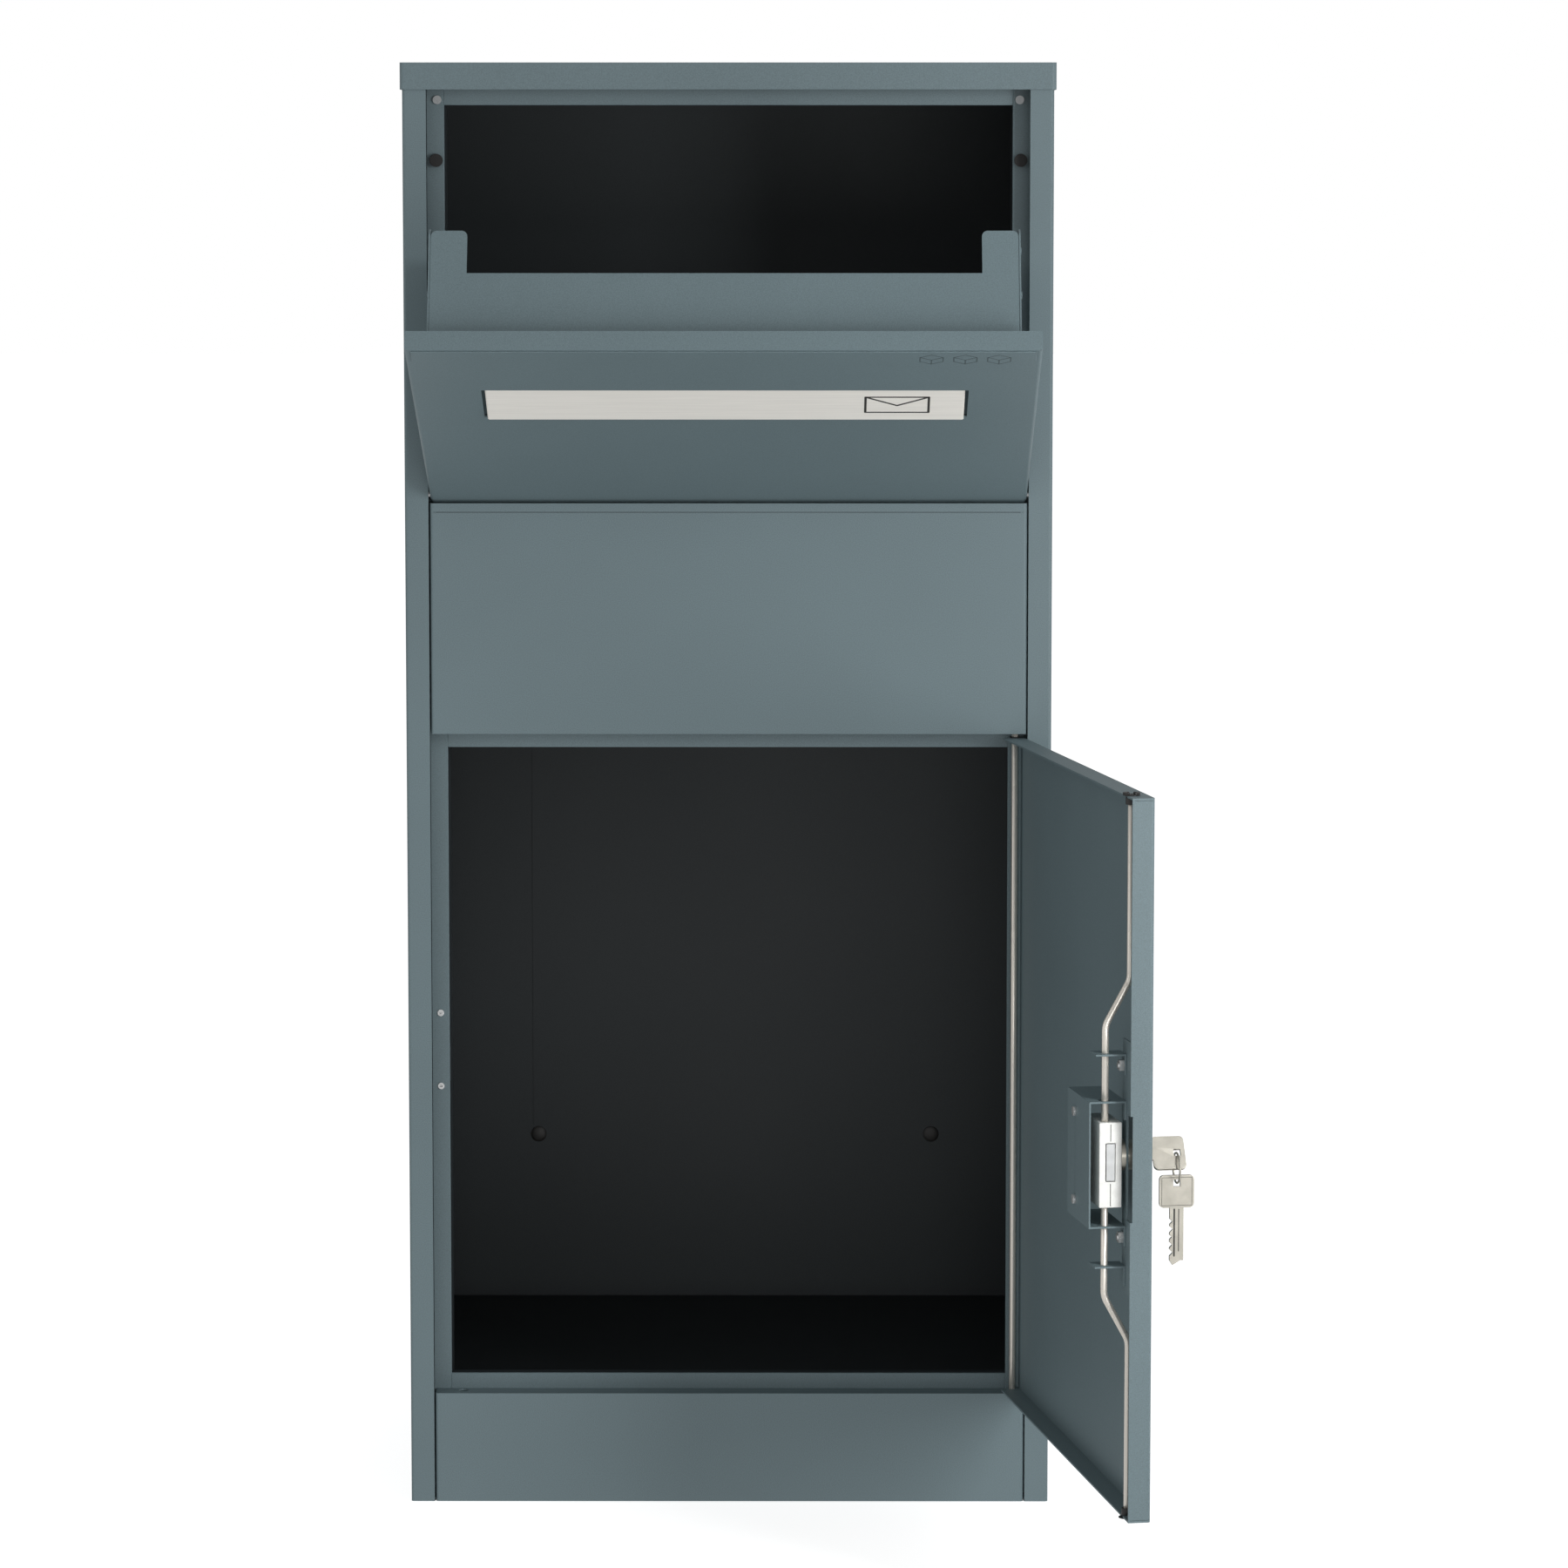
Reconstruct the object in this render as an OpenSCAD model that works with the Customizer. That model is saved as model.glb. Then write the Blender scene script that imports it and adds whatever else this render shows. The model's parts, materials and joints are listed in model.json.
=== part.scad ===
// Free-standing parcel drop box: steel cabinet with a tilt-out parcel flap
// above and a lockable emptying door below. Millimetres, +Z up, the front
// faces -Y, and the origin is the centre of the anchor holes on the floor.
// The flap and the door are drawn closed and then swung open.

/* [Cabinet] */
// Width over the side panels
body_w = 450; // [430:1:480]
// Depth over the stiles and the back panel
body_d = 350; // [340:1:400]
// Height to the top of the lid
body_h = 1010; // [1010:1:1030]
// Sheet steel thickness
sheet = 1.2; // [1:0.1:1.4]
// Width of the front stiles
stile_w = 16.5; // [16:0.1:17]
// Height of the lid rim
lid_h = 18.5; // [16:0.5:22]
// How far the lid stands proud on each side
lid_over = 1.5; // [1.5:0.1:3]

/* [Front] */
// Clear width of both openings
opening_w = 394; // [390:1:396]
// How far jambs and rails stand behind the front face
recess = 18; // [18:0.5:20]
// Top of the plinth panel
plinth_h = 77.5; // [74:0.1:80]
// Bottom edge of the fixed middle panel
panel_z = 545.2; // [540:0.1:550]
// Bottom edge of the closed parcel flap
flap_z = 708.5; // [707:0.1:710]
// Gap around the flap and the door
reveal = 1.4; // [1.2:0.1:1.6]

/* [Parcel flap] */
// How far the flap is drawn open, in degrees from vertical
flap_open = 66.5; // [0:0.1:66.5]
// Depth of the folded rim of the flap
flap_rim = 13.5; // [12:0.5:14]
// Depth of the catch plate behind the flap
catch_d = 64.7; // [60:0.1:70]
// Depth of the tabs at the ends of the catch plate
tab_d = 96; // [90:1:96]
// Length of the drop floor
floor_len = 183; // [170:1:186]

/* [Letter flap] */
// Length of the letter slot
slot_w = 322; // [300:1:330]
// Height of the letter slot
slot_h = 48; // [46:1:50]
// How far the letter flap leans out of the slot, in degrees
letter_tilt = 5.5; // [2:0.5:8]

/* [Door and lock] */
// How far the door is drawn open, in degrees
door_open = 99.4; // [0:0.1:102]
// Depth of the folded rim of the door
door_rim = 14.6; // [13:0.1:15]
// Height of the bolt above the floor
lock_z = 309; // [300:1:320]
// Diameter of the hinge rod and of the locking rods
rod_d = 4.5; // [4:0.1:4.6]
// Height of the key above the bolt
key_rise = 3.3; // [3:0.1:6]
// How far the key is drawn turned, in degrees
key_turn = 33; // [20:1:40]

/* [Fixing] */
// Anchor hole spacing across the width
anchor_x = 340; // [300:1:360]
// Anchor hole spacing along the depth
anchor_y = 220; // [200:1:224]
// Anchor hole diameter
anchor_d = 11; // [9:0.5:13]
// Wall hole spacing across the width
wall_x = 300; // [260:1:340]
// Wall hole spacing in height
wall_z = 600; // [500:1:640]
// Wall hole diameter
wall_d = 9; // [7:0.5:11]

/* [Hidden] */
$fn = 48;

paint = [0.40, 0.47, 0.49];
dark_paint = [0.20, 0.23, 0.24];
zinc = [0.75, 0.76, 0.78];
steel = [0.80, 0.79, 0.76];
black = [0.10, 0.10, 0.11];

front = -body_d / 2;
side_x = body_w / 2;
stile_x = side_x - stile_w;
pan_x = stile_x - reveal;
open_x = opening_w / 2;
lid_z = body_h - lid_h;
panel_top = flap_z - 2.4;
bend_r = 2.2;
jamb_back = 48;
jamb_face = 12.2;
tiny = 0.01;

// Parcel flap: pivot, face height and drop floor
flap_y = front + 4.5;
flap_pivot_z = flap_z + 3.5;
flap_h = lid_z - 1.5 - flap_z;
pin_d = 4;
run = 0.16;
catch_s = 255;
cheek_x = 194.5;
tab_w = 24;
floor_t = 12;
floor_s = 6;
floor_tilt = 70.3;
floor_lip = 12;
slot_s = 163;

// Letter flap: pivot and plate, in the closed parcel flap
letter_y = front + 4.1;
letter_z = flap_z + slot_s + slot_h - 3;
letter_w = 317.4;
letter_h = 45;
letter_t = 1.5;

// Door: hinge axis and height
hinge_x = pan_x - 7.3;
hinge_y = front + 6.6;
washer_t = 0.9;
door_z = plinth_h + washer_t + 0.1;
door_h = panel_z - 3.2 - door_z;
hinge_rim = 10.2;

// Lock: places are along the door from the hinge rod (s) and behind its
// outer face (t)
lock_s = 395;
rod_s = 388;
key_s = 385;
rod_outer_t = 11.1;
rod_inner_t = 27.1;
bend_low = 87;
bend_high = 116;
case_t = 17.5;
case_w = 14.5;
case_len = 40;
case_h = 54.6;
case_z = lock_z - 1.7;
bolt_t = 5.5;
bolt_gap = 0.4;
guide_rise = 68;
key_z = lock_z + key_rise;

// Swings its children from closed to the drawn flap position
module flap_pose() {
  translate([0, flap_y, flap_pivot_z]) rotate([flap_open, 0, 0])
    translate([0, -flap_y, -flap_pivot_z]) children();
}

// Swings its children from closed to the drawn door position
module door_pose() {
  translate([hinge_x, hinge_y, 0]) rotate([0, 0, door_open])
    translate([-hinge_x, -hinge_y, 0]) children();
}

// Places children at a point of the closed door: s from the hinge rod
// towards the free edge, t behind the outer face, and a height z
module on_door(s, t, z) {
  translate([hinge_x - s, front + t, z]) children();
}

// Places children at a point of the closed flap: x across, t behind the
// outer face, s above the bottom edge
module on_flap(x, t, s) {
  translate([x, front + t, flap_z + s]) children();
}

// Outline centred on x from y = 0 to y = d, with round front corners
module front_round(w, d, r) {
  translate([r - w / 2, 0]) square([w - 2 * r, r]);
  translate([-w / 2, r]) square([w, d - r]);
  for (side = [-1, 1]) translate([side * (w / 2 - r), r]) circle(r = r);
}

// Sheet pan with its outer face on y = 0 and a rim d deep on four sides
module pan(w, h, d) {
  difference() {
    linear_extrude(h) front_round(w, d, bend_r);
    translate([0, sheet, sheet]) linear_extrude(h - 2 * sheet)
      front_round(w - 2 * sheet, d, bend_r - sheet + 0.2);
  }
}

// Bent sheet seen along its bends: the middle line runs through pts
module bent(pts) {
  for (i = [0 : len(pts) - 2]) {
    run_v = pts[i + 1] - pts[i];
    translate(pts[i]) rotate(atan2(run_v[1], run_v[0]))
      translate([0, -sheet / 2]) square([norm(run_v), sheet]);
  }
  for (i = [1 : len(pts) - 2]) translate(pts[i]) circle(d = sheet, $fn = 24);
}

// Turns a drawing in (t, s) into a solid across the flap, w wide
module across(w) {
  translate([-w / 2, 0, 0]) rotate([90, 0, 90]) linear_extrude(w) children();
}

// Cylinder along x, starting at x = 0
module rod_x(d, len) {
  rotate([0, 90, 0]) cylinder(d = d, h = len);
}

// Cylinder along y, starting at y = 0
module rod_y(d, len) {
  rotate([-90, 0, 0]) cylinder(d = d, h = len);
}

// Round-cornered rectangle centred on the origin
module soft_rect(w, h, r) {
  square([w - 2 * r, h], center = true);
  square([w, h - 2 * r], center = true);
  for (sx = [-1, 1], sy = [-1, 1])
    translate([sx * (w / 2 - r), sy * (h / 2 - r)]) circle(r = r);
}

// ---- Cabinet ----

// Side panel: web, round front corner, stile and rear flange (right hand)
module side_panel() {
  h = body_h - sheet - 0.2;
  outline_d = body_d;
  color(paint) linear_extrude(h) difference() {
    union() {
      translate([side_x - bend_r, front + bend_r]) circle(r = bend_r);
      translate([side_x - sheet, front + bend_r])
        square([sheet, outline_d - bend_r]);
      translate([stile_x, front]) square([stile_w - bend_r, sheet]);
      translate([side_x - 20, front + outline_d - sheet]) square([20, sheet]);
    }
    translate([side_x - bend_r, front + bend_r])
      circle(r = bend_r - sheet);
    translate([side_x - 2 * bend_r, front + sheet + tiny])
      square([2 * bend_r - sheet - tiny, bend_r]);
    translate([side_x - 2 * bend_r, front + bend_r])
      square([2 * bend_r - sheet, bend_r]);
  }
}

module side_panel_left() { mirror([1, 0, 0]) side_panel(); }

module side_panel_right() { side_panel(); }

// Back panel, inside the rear flanges, with the wall holes
module back_panel() {
  w = 2 * (side_x - sheet) - 0.4;
  h = body_h - sheet - 0.2;
  color(dark_paint) translate([0, -front - 2 * sheet, 0]) difference() {
    translate([-w / 2, 0, sheet * 2]) cube([w, sheet, h - 2 * sheet]);
    for (sx = [-1, 1], sz = [-1, 1])
      translate([sx * wall_x / 2, -1, body_h / 2 + sz * wall_z / 2])
        rod_y(wall_d, sheet + 2);
  }
}

// Lid: a shallow cap with round corners that slips over the cabinet
module top_lid() {
  w = body_w + 2 * lid_over;
  d = body_d + 2 * lid_over;
  color(paint) difference() {
    translate([0, 0, lid_z]) linear_extrude(lid_h) soft_rect(w, d, 3);
    translate([0, 0, lid_z - 1]) linear_extrude(lid_h - sheet + 1)
      soft_rect(w - 2 * sheet, d - 2 * sheet, 1.8);
  }
}

// Base plate with the four anchor holes and a toe behind each stile
module base_plate() {
  w = 2 * (side_x - sheet) - 0.4;
  d = body_d - jamb_back - 2 * sheet - 2;
  toe_x = pan_x + 0.7;
  toe_w = side_x - bend_r - 0.4 - toe_x;
  color(dark_paint) difference() {
    union() {
      translate([-w / 2, -front - 2 * sheet - d, 0]) cube([w, d, 2 * sheet]);
      for (side = [-1, 1]) scale_x(side)
        translate([toe_x, front + sheet + 0.2, 0])
          cube([toe_w, jamb_back + 2, 2 * sheet]);
    }
    for (sx = [-1, 1], sy = [-1, 1])
      translate([sx * anchor_x / 2, sy * anchor_y / 2, -1])
        cylinder(d = anchor_d, h = 2 * sheet + 2);
  }
}

// Lift-out floor of the parcel compartment, a tray on folded legs
module compartment_floor() {
  w = 2 * (side_x - sheet) - 4;
  top = plinth_h + 2.4;
  y0 = front + jamb_back + 14;
  d = -front - 2 * sheet - 1 - y0;
  color(dark_paint) {
    translate([-w / 2, y0, top - sheet]) cube([w, d, sheet]);
    translate([1 - open_x, front + recess + 12, top - sheet])
      cube([2 * open_x - 2, jamb_back + 2 - recess + tiny, sheet]);
    for (side = [-1, 1])
      translate([side * (w / 2 - 10) - sheet / 2, y0, 2 * sheet])
        cube([sheet, d, top - 3 * sheet + tiny]);
  }
}

// Front panel with a folded rim and lips that bear on the jambs
module front_panel(w, z0, h) {
  difference() {
    union() {
      translate([0, front, z0]) pan(w, h, recess);
      for (side = [-1, 1])
        translate([side * (w / 2 - 5) - 5, front + recess - sheet, z0])
          cube([10, sheet, h]);
    }
    children();
  }
}

// Holes for the hinge rod and the locking rod in a folded rim
module rim_holes(z0) {
  translate([hinge_x, hinge_y, z0]) cylinder(d = rod_d, h = 4 * sheet);
  on_door(rod_s, rod_outer_t, z0) cylinder(d = rod_d + 3, h = 4 * sheet);
}

// Plinth panel under the door
module plinth_panel() {
  color(paint) front_panel(2 * pan_x + 1, 0, plinth_h) {
    rim_holes(plinth_h - 2 * sheet);
    translate([1 - open_x, front + sheet, -1])
      cube([2 * open_x - 2, recess + 1, 1 + sheet + tiny]);
  }
}

// Fixed panel between the flap and the door, creased under its top edge
module middle_panel() {
  h = panel_top - panel_z;
  color(paint) front_panel(2 * pan_x + 1, panel_z, h) {
    rim_holes(panel_z - 2 * sheet);
    translate([-pan_x + 2, front - tiny, panel_top - 6.6])
      cube([2 * pan_x - 4, 0.5, 0.8]);
    translate([-open_x, front + 8, panel_top - 2 * sheet])
      cube([2 * open_x, recess, 4 * sheet]);
  }
}

// Jamb seen from above: face, inner return, web to the side panel, flange
module jamb_outline() {
  c = sheet / 2;
  bent([[open_x + jamb_face, front + recess + c],
        [open_x + c, front + recess + c],
        [open_x + c, front + jamb_back],
        [side_x - sheet - c, front + jamb_back],
        [side_x - sheet - c, front + jamb_back + 12]]);
}

module upper_jamb(side) {
  color(paint) scale_x(side) difference() {
    translate([0, 0, panel_z + 0.2])
      linear_extrude(body_h - sheet - 0.4 - panel_z - 0.2) jamb_outline();
    translate([side_x - stile_w / 2 - 5, front + recess + 4.8, lid_z - 6.8])
      rod_y(3.2, 1);
  }
}

// Mirrors its children when side is -1
module scale_x(side) {
  mirror([side < 0 ? 1 : 0, 0, 0]) children();
}

module upper_jamb_left() { upper_jamb(-1); }

module upper_jamb_right() { upper_jamb(1); }

module lower_jamb() {
  translate([0, 0, 2 * sheet]) linear_extrude(panel_z - 2 * sheet)
    jamb_outline();
}

// The left jamb is slotted for the bolt
module lower_jamb_left() {
  slot_y = front + case_t + case_w / 2 - 4.5;
  color(paint) difference() {
    mirror([1, 0, 0]) lower_jamb();
    translate([-open_x - 3, slot_y, lock_z - 13]) cube([6, 9, 26]);
    for (z = strike_rivet_z) translate([strike_x, front + recess - 1, z])
      rod_y(3, 4);
  }
}

module lower_jamb_right() { color(paint) lower_jamb(); }

// Rail over the upper opening, folded back at its lower edge
module upper_top_rail() {
  c = sheet / 2;
  color(paint) across(opening_w) bent([
    [front + recess + c, body_h - 2 * sheet],
    [front + recess + c, lid_z - 10.5 + c],
    [front + recess + 14, lid_z - 10.5 + c]]);
}

// Rail over the door opening, folded back at its lower edge
module lower_top_rail() {
  c = sheet / 2;
  color(paint) across(opening_w) bent([
    [front + recess + c, panel_z],
    [front + recess + c, panel_z - 11 + c],
    [front + recess + 22, panel_z - 11 + c]]);
}

// Rail under the door opening, folded back at its upper edge
module lower_bottom_rail() {
  c = sheet / 2;
  top = plinth_h + 11;
  color(paint) across(opening_w) bent([
    [front + recess + c, plinth_h - 6],
    [front + recess + c, top - c],
    [front + recess + 10, top - c],
    [front + recess + 10, plinth_h + 2.4]]);
}

// Rubber bumpers that the closed flap rests on
module flap_bumpers() {
  color(black) for (side = [-1, 1])
    translate([side * (open_x + 5.6), front + flap_rim + 0.2, lid_z - 48.5]) {
      rod_y(9, recess - flap_rim - 0.2);
    }
}

// Pan-head screws at the head of the jambs
module jamb_screws() {
  color(zinc) for (side = [-1, 1])
    translate([side * (open_x + 4.8), front + recess - 1.6, lid_z - 6.8])
      difference() {
        rod_y(6, 1.6);
        translate([-0.5, -1, -2]) cube([1, 1.6, 4]);
        translate([-2, -1, -0.5]) cube([4, 1.6, 1]);
      }
}

strike_x = -open_x - 6.2;
strike_rivet_z = [lock_z - 14.8, lock_z + 37.2];

// Strike plate behind the left jamb
module strike_plate() {
  color(zinc) difference() {
    translate([-open_x - 9.5, front + recess + sheet, lock_z - 24])
      cube([8, 2, 72]);
    for (z = strike_rivet_z) translate([strike_x, front + recess, z])
      rod_y(3, 5);
  }
}

// Hollow rivets of the strike plate
module strike_rivets() {
  color(zinc) for (z = strike_rivet_z)
    translate([strike_x, front + recess, z]) difference() {
      union() {
        translate([0, -0.8, 0]) rod_y(4.6, 0.8);
        rod_y(3, sheet + 2);
        translate([0, sheet + 2, 0]) rod_y(4.4, 0.8);
      }
      translate([0, -1, 0]) rod_y(1.8, 2.4);
    }
}

// Bracket behind the stile that carries one flap pin (right hand)
module flap_hinge_bracket() {
  ear = stile_x + 1;
  color(dark_paint) difference() {
    translate([0, 0, flap_pivot_z - 9]) linear_extrude(24) bent([
      [ear + sheet / 2, front + 1.4],
      [ear + sheet / 2, front + 20],
      [side_x - 1.5 * sheet, front + 20],
      [side_x - 1.5 * sheet, front + 36]]);
    translate([ear - 1, flap_y, flap_pivot_z]) rod_x(pin_d, sheet + 2);
  }
}

module flap_hinge_bracket_left() { mirror([1, 0, 0]) flap_hinge_bracket(); }

module flap_hinge_bracket_right() { flap_hinge_bracket(); }

// Shoulder pins on which the flap turns
module flap_hinge_pins() {
  color(zinc) for (side = [-1, 1]) scale_x(side) {
    translate([pan_x - sheet + 0.1, flap_y, flap_pivot_z])
      rod_x(pin_d, stile_x + 1 + sheet - pan_x + sheet - 0.1);
    translate([stile_x + 1 + sheet, flap_y, flap_pivot_z]) rod_x(6, 1.5);
  }
}

// Hinge rod of the door, from the plinth rim to the middle panel rim
module door_hinge_rod() {
  color(steel) translate([hinge_x, hinge_y, plinth_h - 9])
    cylinder(d = rod_d, h = panel_z - plinth_h + 18);
}

// Plastic washers between the door and the fixed rims
module hinge_washers() {
  color(black) for (z = [plinth_h, door_z + door_h + 0.1])
    translate([hinge_x, hinge_y, z]) difference() {
      cylinder(d = 7, h = washer_t);
      translate([0, 0, -1]) cylinder(d = rod_d, h = 3);
    }
}

// Spring clips at both ends of the hinge rod
module hinge_clips() {
  color(zinc) for (z = [plinth_h - 5, panel_z + 4])
    translate([hinge_x, hinge_y, z]) difference() {
      cylinder(d = 8, h = 0.8);
      translate([0, 0, -1]) cylinder(d = rod_d, h = 3);
    }
}

// ---- Parcel flap, drawn closed and swung by flap_pose() ----

letter_slot_x = slot_w / 2;

// Flap pan with the letter slot and the two pin bores
module flap_pan() {
  color(paint) flap_pose() difference() {
    translate([0, front, flap_z]) pan(2 * pan_x, flap_h, flap_rim);
    on_flap(-letter_slot_x, -1, slot_s) cube([slot_w, 4, slot_h]);
    translate([-pan_x - 1, flap_y, flap_pivot_z])
      rod_x(pin_d + run, 2 * pan_x + 2);
  }
}

// Strip along the top of the flap, wider at its right end
module grip_strip() {
  narrow = 15;
  wide = 25;
  top = flap_z + flap_h - 1.5;
  color(paint) flap_pose() translate([0, front, top]) rotate([90, 0, 0])
    linear_extrude(0.8) polygon([[-pan_x + 4, 0], [pan_x - 4, 0],
      [pan_x - 4, -narrow], [190, -wide], [112, -wide], [104, -narrow],
      [-pan_x + 4, -narrow]]);
}

// Catch plate across the back of the flap, with a tab at each end
module catch_plate() {
  w = 2 * (cheek_x - sheet) - 0.4;
  r = 4;
  color(paint) flap_pose() {
    on_flap(0, 0, catch_s) difference() {
      linear_extrude(sheet) {
        translate([-w / 2, sheet]) square([w, catch_d - sheet]);
        for (side = [-1, 1]) translate([side * (w - tab_w) / 2, tab_d / 2])
          soft_rect(tab_w, tab_d - 2 * sheet, r);
      }
    }
    on_flap(-w / 2, sheet, catch_s - 14) cube([w, sheet, 14 + tiny]);
  }
}

// Side wall of the hopper, drawn in (t, s)
module cheek_outline() {
  end_t = floor_t + floor_len * sin(floor_tilt);
  end_s = floor_s - floor_len * cos(floor_tilt);
  polygon([[sheet + 0.1, 16], [floor_t, floor_s], [end_t, end_s],
    [end_t + 3, end_s + 6], [tab_d + 2, catch_s - 4],
    [tab_d - 3, catch_s + sheet], [sheet + 0.1, catch_s + sheet]]);
}

module flap_cheek_left() {
  color(paint) flap_pose() on_flap(-cheek_x, 0, 0) rotate([90, 0, 90])
    linear_extrude(sheet) cheek_outline();
}

module flap_cheek_right() {
  color(paint) flap_pose() on_flap(cheek_x - sheet, 0, 0) rotate([90, 0, 90])
    linear_extrude(sheet) cheek_outline();
}

// Floor of the hopper, folded up against the flap and at its far edge
module drop_floor() {
  w = 2 * (cheek_x - sheet) - 0.4;
  c = 1.5 * sheet;
  dir = [sin(floor_tilt), -cos(floor_tilt)];
  turn = [cos(floor_tilt), sin(floor_tilt)];
  start = [floor_t, floor_s + sheet];
  stop = start + (floor_len - 4) * dir;
  color(dark_paint) flap_pose() on_flap(0, 0, 0) across(w)
    bent([[c, 60], [c, 14], start, stop, stop + floor_lip * turn]);
}

// Rivets that hold the cheeks to the catch plate and the floor
module cheek_rivets() {
  spots = [[20, catch_s - 6], [52, catch_s - 6], [84, catch_s - 8],
    [40, 8], [100, -12], [160, -34]];
  color(zinc) flap_pose() for (side = [-1, 1]) scale_x(side)
    for (p = spots) on_flap(cheek_x, p[0], p[1])
      rod_x(5, 0.8);
}

// Frame behind the letter slot that carries the letter flap pin
module letter_slot_frame() {
  in_w = slot_w + 1;
  out_w = in_w + 20;
  color(dark_paint) flap_pose() on_flap(0, 0, slot_s) difference() {
    union() {
      translate([-out_w / 2, sheet, -8]) cube([out_w, sheet, slot_h + 16]);
      for (side = [-1, 1])
        translate([side * (in_w / 2 + 1.2) - 1.2, sheet, slot_h - 12])
          cube([2.4, 9, 14]);
    }
    translate([-in_w / 2, 0, -0.5]) cube([in_w, 3 * sheet, slot_h + 1]);
    translate([-out_w / 2, letter_y - front, letter_z - flap_z - slot_s])
      rod_x(2, out_w);
  }
}

module letter_flap_pin() {
  len = slot_w + 5;
  color(steel) flap_pose() translate([-len / 2, letter_y, letter_z])
    rod_x(2, len);
}

// Letter flap: plate with a bevelled rim, hung from two knuckles
module letter_flap() {
  knuckle = 20;
  bevel = 0.7;
  color(steel) flap_pose() translate([0, letter_y, letter_z])
    rotate([-letter_tilt, 0, 0]) difference() {
      union() {
        translate([-letter_w / 2, -2.9 + bevel, 1.5 - letter_h])
          cube([letter_w, letter_t - bevel, letter_h]);
        translate([-letter_w / 2 + bevel, -2.9, 1.5 - letter_h + bevel])
          cube([letter_w - 2 * bevel, bevel + tiny, letter_h - 2 * bevel]);
        for (side = [-1, 1])
          translate([side * (letter_w / 2 - knuckle) - knuckle / 2, 0, 0])
            rod_x(4.2, knuckle);
      }
      translate([-letter_w / 2 - 1, 0, 0]) rod_x(2 + run, letter_w + 2);
    }
}

// ---- Door, drawn closed and swung by door_pose() ----

door_top = door_z + door_h;
nut_s = 391;
nut_drop = 6.3;
bracket_low = lock_z - 42.3;
bracket_top = lock_z + 39;
nut_z = [lock_z + guide_rise - nut_drop, bracket_low - nut_drop];
bracket_s = 331;
bracket_t = 38.8;
lip_low = lock_z - 84;
lip_high = lock_z + 78;
cylinder_d = 20;
plug_d = 13;
bush_d = 5.6;
bow = 21;
ring_r = 9.6;
ring_t = -20.5;
key_face_t = -4.6;
hole_y = key_face_t - ring_t;
screw_z = [lock_z - 30, lock_z + 27];

// Box on the closed door between two places along s, t and z
module door_box(s0, s1, t0, t1, z0, z1) {
  translate([hinge_x - s1, front + t0, z0])
    cube([s1 - s0, t1 - t0, z1 - z0]);
}

// Door pan: shallow rim on the hinge side, lip for the lock at the other
module door_pan() {
  edge_s = hinge_x + pan_x;
  color(paint) door_pose() difference() {
    union() {
      translate([0, front, door_z]) pan(2 * pan_x, door_h, door_rim);
      door_box(384, edge_s - sheet + tiny, door_rim - sheet, door_rim,
        lip_low, lip_high);
    }
    door_box(-20, 2, hinge_rim, 20, 0, body_h);
    for (z = [door_z - 1, door_top - 2 * sheet]) {
      translate([hinge_x, hinge_y, z]) cylinder(d = rod_d + run, h = 4);
      on_door(rod_s, rod_outer_t, z) cylinder(d = bush_d + 0.5, h = 4);
      door_box(rod_s - bush_d / 2 - 0.25, rod_s + bush_d / 2 + 0.25,
        rod_outer_t, 20, z, z + 4);
    }
    on_door(key_s, -1, key_z) rod_y(cylinder_d, 8);
    on_door(key_s, 8, key_z) rod_y(cylinder_d + 1, 12);
    door_box(396, 410, door_rim - 1.5, 20, lock_z - 37, lock_z + 31);
    for (z = [door_z + 1.3, door_top - 1.8])
      door_box(edge_s - 0.5, edge_s + 1, 1.5, door_rim - 1, z, z + 0.5);
  }
}

// Bracket round the lock case: top, bottom and rear wall, flange below
module lock_bracket() {
  color(paint) door_pose() difference() {
    union() {
      door_box(bracket_s, lock_s, door_rim, bracket_t,
        bracket_low, bracket_low + sheet);
      door_box(bracket_s, lock_s, door_rim, bracket_t,
        bracket_top - sheet, bracket_top);
      door_box(bracket_s, lock_s, bracket_t - sheet, bracket_t,
        bracket_low, bracket_top);
      door_box(385, lock_s, door_rim, door_rim + sheet,
        bracket_low - 12, bracket_low + tiny);
      door_box(387, lock_s, door_rim, door_rim + sheet,
        bracket_top - 12, bracket_top);
    }
    for (z = [bracket_low - 1, bracket_top - 2])
      on_door(rod_s, rod_inner_t, z) cylinder(d = 2 * rod_d, h = 4);
    on_door(nut_s, door_rim - 1, nut_z[1]) rod_y(4.2, 4);
    for (z = screw_z) on_door(354, bracket_t - 2, z) rod_y(3.2, 4);
  }
}

// Lock case: hollow, with a window for the bolt and holes for the rods
module lock_case() {
  wall = 1.5;
  s0 = lock_s - case_len;
  mid = case_t + case_w / 2;
  color(zinc) door_pose() difference() {
    door_box(s0, lock_s, case_t, case_t + case_w,
      case_z - case_h / 2, case_z + case_h / 2);
    door_box(s0 + wall, lock_s - wall, case_t + wall, case_t + case_w - wall,
      case_z - case_h / 2 + wall, case_z + case_h / 2 - wall);
    door_box(lock_s - 2 * wall, lock_s + 1, mid - bolt_t / 2 - bolt_gap,
      mid + bolt_t / 2 + bolt_gap, lock_z - 12.4, lock_z + 12.4);
    for (z = [case_z - case_h / 2 - 1, case_z + case_h / 2 - 2])
      on_door(rod_s, rod_inner_t, z) cylinder(d = rod_d + 1, h = 3);
  }
}

// Fixed barrel of the lock, through the door skin to the case
module lock_cylinder() {
  color(steel) door_pose() on_door(key_s, -0.6, key_z) difference() {
    rod_y(cylinder_d, case_t + 0.6);
    translate([0, -1, 0]) rod_y(plug_d + run, case_t + 3);
  }
}

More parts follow.
